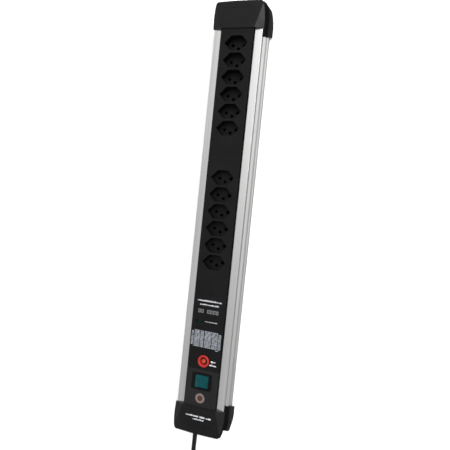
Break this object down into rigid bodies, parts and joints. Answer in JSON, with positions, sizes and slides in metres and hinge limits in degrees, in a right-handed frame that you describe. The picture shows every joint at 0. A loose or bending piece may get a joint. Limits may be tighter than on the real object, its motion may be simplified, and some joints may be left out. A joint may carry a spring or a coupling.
{
  "type": "power strip",
  "caption": "Long aluminium power strip with hexagonal recessed outlets, surge panel, round overload button, rocker switch, black end caps and a coiled mains cord.",
  "frame": {"origin": "centre of the strip's footprint on the surface it rests on, tabs included, cord and plug left out", "axes": "+Z out of the outlet faces, +Y along the strip from the cord's end to the far end, +X across"},
  "size_m": [0.1238, 0.936, 0.0526],
  "materials": {
    "anodised_aluminium": "satin natural anodised, fine lengthwise grain",
    "black_moulding": "fine spark-eroded texture",
    "cap_moulding": "fine spark-eroded texture",
    "black_gloss": "moulded gloss",
    "rocker_teal": "translucent moulded, lit from inside",
    "breaker_red": "moulded satin gloss",
    "breaker_orange": "moulded",
    "lens_green": "dark translucent",
    "seal_foil": "printed foil sticker",
    "white_moulding": "moulded",
    "zinc_steel": "zinc plated",
    "brass_contacts": "stamped, bright",
    "nickel_pins": "nickel plated",
    "cord_jacket": "smooth satin jacket",
    "black_rubber": "moulded",
    "tie_fabric": "woven hook tape",
    "circuit_board": "solder mask",
    "component_blue": "dipped lacquer",
    "component_yellow": "boxed film capacitor",
    "lead_brown": "PVC insulation",
    "lead_blue": "PVC insulation",
    "lead_green": "PVC insulation"
  },
  "bodies": {
    "root": {"breaker_body": "black_moulding", "breaker_collar": "breaker_red", "clamp_screw_1": "zinc_steel", "clamp_screw_2": "zinc_steel", "contact_tray_lower": "white_moulding", "contact_tray_upper": "white_moulding", "cord_cap_screw_1": "zinc_steel", "cord_cap_screw_2": "zinc_steel", "cord_clamp": "black_moulding", "cord_coil": "cord_jacket", "cord_end_cap": "cap_moulding", "cord_tab_rivet": "zinc_steel", "cord_tie": "tie_fabric", "discharge_tube": "white_moulding", "earth_bus_bar": "brass_contacts", "earth_lead": "lead_green", "earth_varistor": "component_blue", "far_cap_screw_1": "zinc_steel", "far_cap_screw_2": "zinc_steel", "far_end_cap": "cap_moulding", "far_tab_rivet": "zinc_steel", "housing_profile": "anodised_aluminium", "indicator_lamp": "lens_green", "indicator_lens": "lens_green", "inspection_seal": "seal_foil", "insulating_liner": "white_moulding", "line_bus_bar": "brass_contacts", "line_lead": "lead_brown", "line_varistor": "component_blue", "mains_cord": "cord_jacket", "mains_cord_tail": "cord_jacket", "neutral_bus_bar": "brass_contacts", "neutral_lead": "lead_blue", "plug_body": "black_rubber", "plug_pin_1": "nickel_pins", "plug_pin_2": "nickel_pins", "plug_pin_3": "nickel_pins", "rocker_bezel": "black_gloss", "rocker_pivot_pin": "zinc_steel", "rocker_switch_body": "black_moulding", "socket_block_lower": "black_moulding", "socket_block_upper": "black_moulding", "strain_relief": "black_rubber", "suppression_capacitor": "component_yellow", "surge_board": "circuit_board", "surge_panel": "black_moulding", "switch_panel": "black_moulding", "switch_terminal_1": "brass_contacts", "switch_terminal_2": "brass_contacts", "switch_terminal_3": "brass_contacts", "switch_terminal_4": "brass_contacts", "thermal_fuse": "white_moulding"},
    "rocker": {"rocker_button": "rocker_teal"},
    "breaker_button": {"breaker_button": "breaker_orange"},
    "far_tab": {"far_mounting_tab": "zinc_steel"},
    "cord_tab": {"cord_mounting_tab": "zinc_steel"}
  },
  "joints": [
    {"name": "rocker_pivot", "type": "hinge", "parent": "root", "child": "rocker", "pos_m": [0, -0.25875, 0.0456], "axis": [0, 1, 0], "range_deg": [-14, 0]},
    {"name": "breaker_travel", "type": "slide", "parent": "root", "child": "breaker_button", "axis": [0, 0, 1], "range_m": [0, 0.003]},
    {"name": "far_tab_swivel", "type": "hinge", "parent": "root", "child": "far_tab", "pos_m": [0, 0.31275, 0.002], "axis": [0, 0, 1], "range_deg": [-180, 180]},
    {"name": "cord_tab_swivel", "type": "hinge", "parent": "root", "child": "cord_tab", "pos_m": [0, -0.32875, 0.002], "axis": [0, 0, 1], "range_deg": [-180, 180]}
  ]
}
